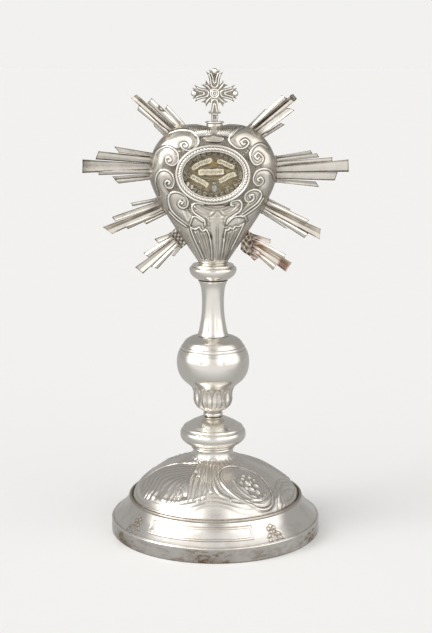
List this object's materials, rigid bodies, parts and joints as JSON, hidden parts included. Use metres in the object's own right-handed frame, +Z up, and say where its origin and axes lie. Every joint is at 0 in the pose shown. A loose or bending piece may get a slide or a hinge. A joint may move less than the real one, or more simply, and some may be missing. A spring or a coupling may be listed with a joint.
{
  "type": "reliquary monstrance",
  "caption": "Heart-shaped silver reliquary monstrance on a turned stem and a domed, embossed round foot, with an oval glazed window, stepped rays and a small cross.",
  "frame": {"origin": "on the table under the centre of the round foot", "axes": "+Z up the stem, the window looks along -Y, +X to the viewer's right when the window is seen from the front"},
  "size_m": [0.1901, 0.1546, 0.3378],
  "materials": {
    "silver_polished": "polished silver with a fine haze of tarnish and hand polishing",
    "silver_chased": "embossed and chased silver, darker in the hollows",
    "silver_rays": "folded silver sheet, satin, with brown tarnish at the roots",
    "glass": "thin clear flat glass",
    "relic_paper": "aged ochre paper and card with quilled paper coils"
  },
  "bodies": {
    "root": {"foot": "silver_chased", "lower_knop": "silver_polished", "spool": "silver_polished", "baluster": "silver_polished", "stem_neck": "silver_polished", "upper_knop": "silver_polished", "heart_front": "silver_chased", "heart_back": "silver_polished", "window_frame": "silver_polished", "window_glass": "glass", "relic_mount": "relic_paper", "cross_socket": "silver_polished", "cross": "silver_chased", "rays_upper_left": "silver_rays", "rays_left": "silver_rays", "rays_lower_left": "silver_rays", "rays_bottom_left": "silver_rays", "rays_upper_right": "silver_rays", "rays_right": "silver_rays", "rays_lower_right": "silver_rays", "rays_bottom_right": "silver_rays"}
  },
  "joints": []
}
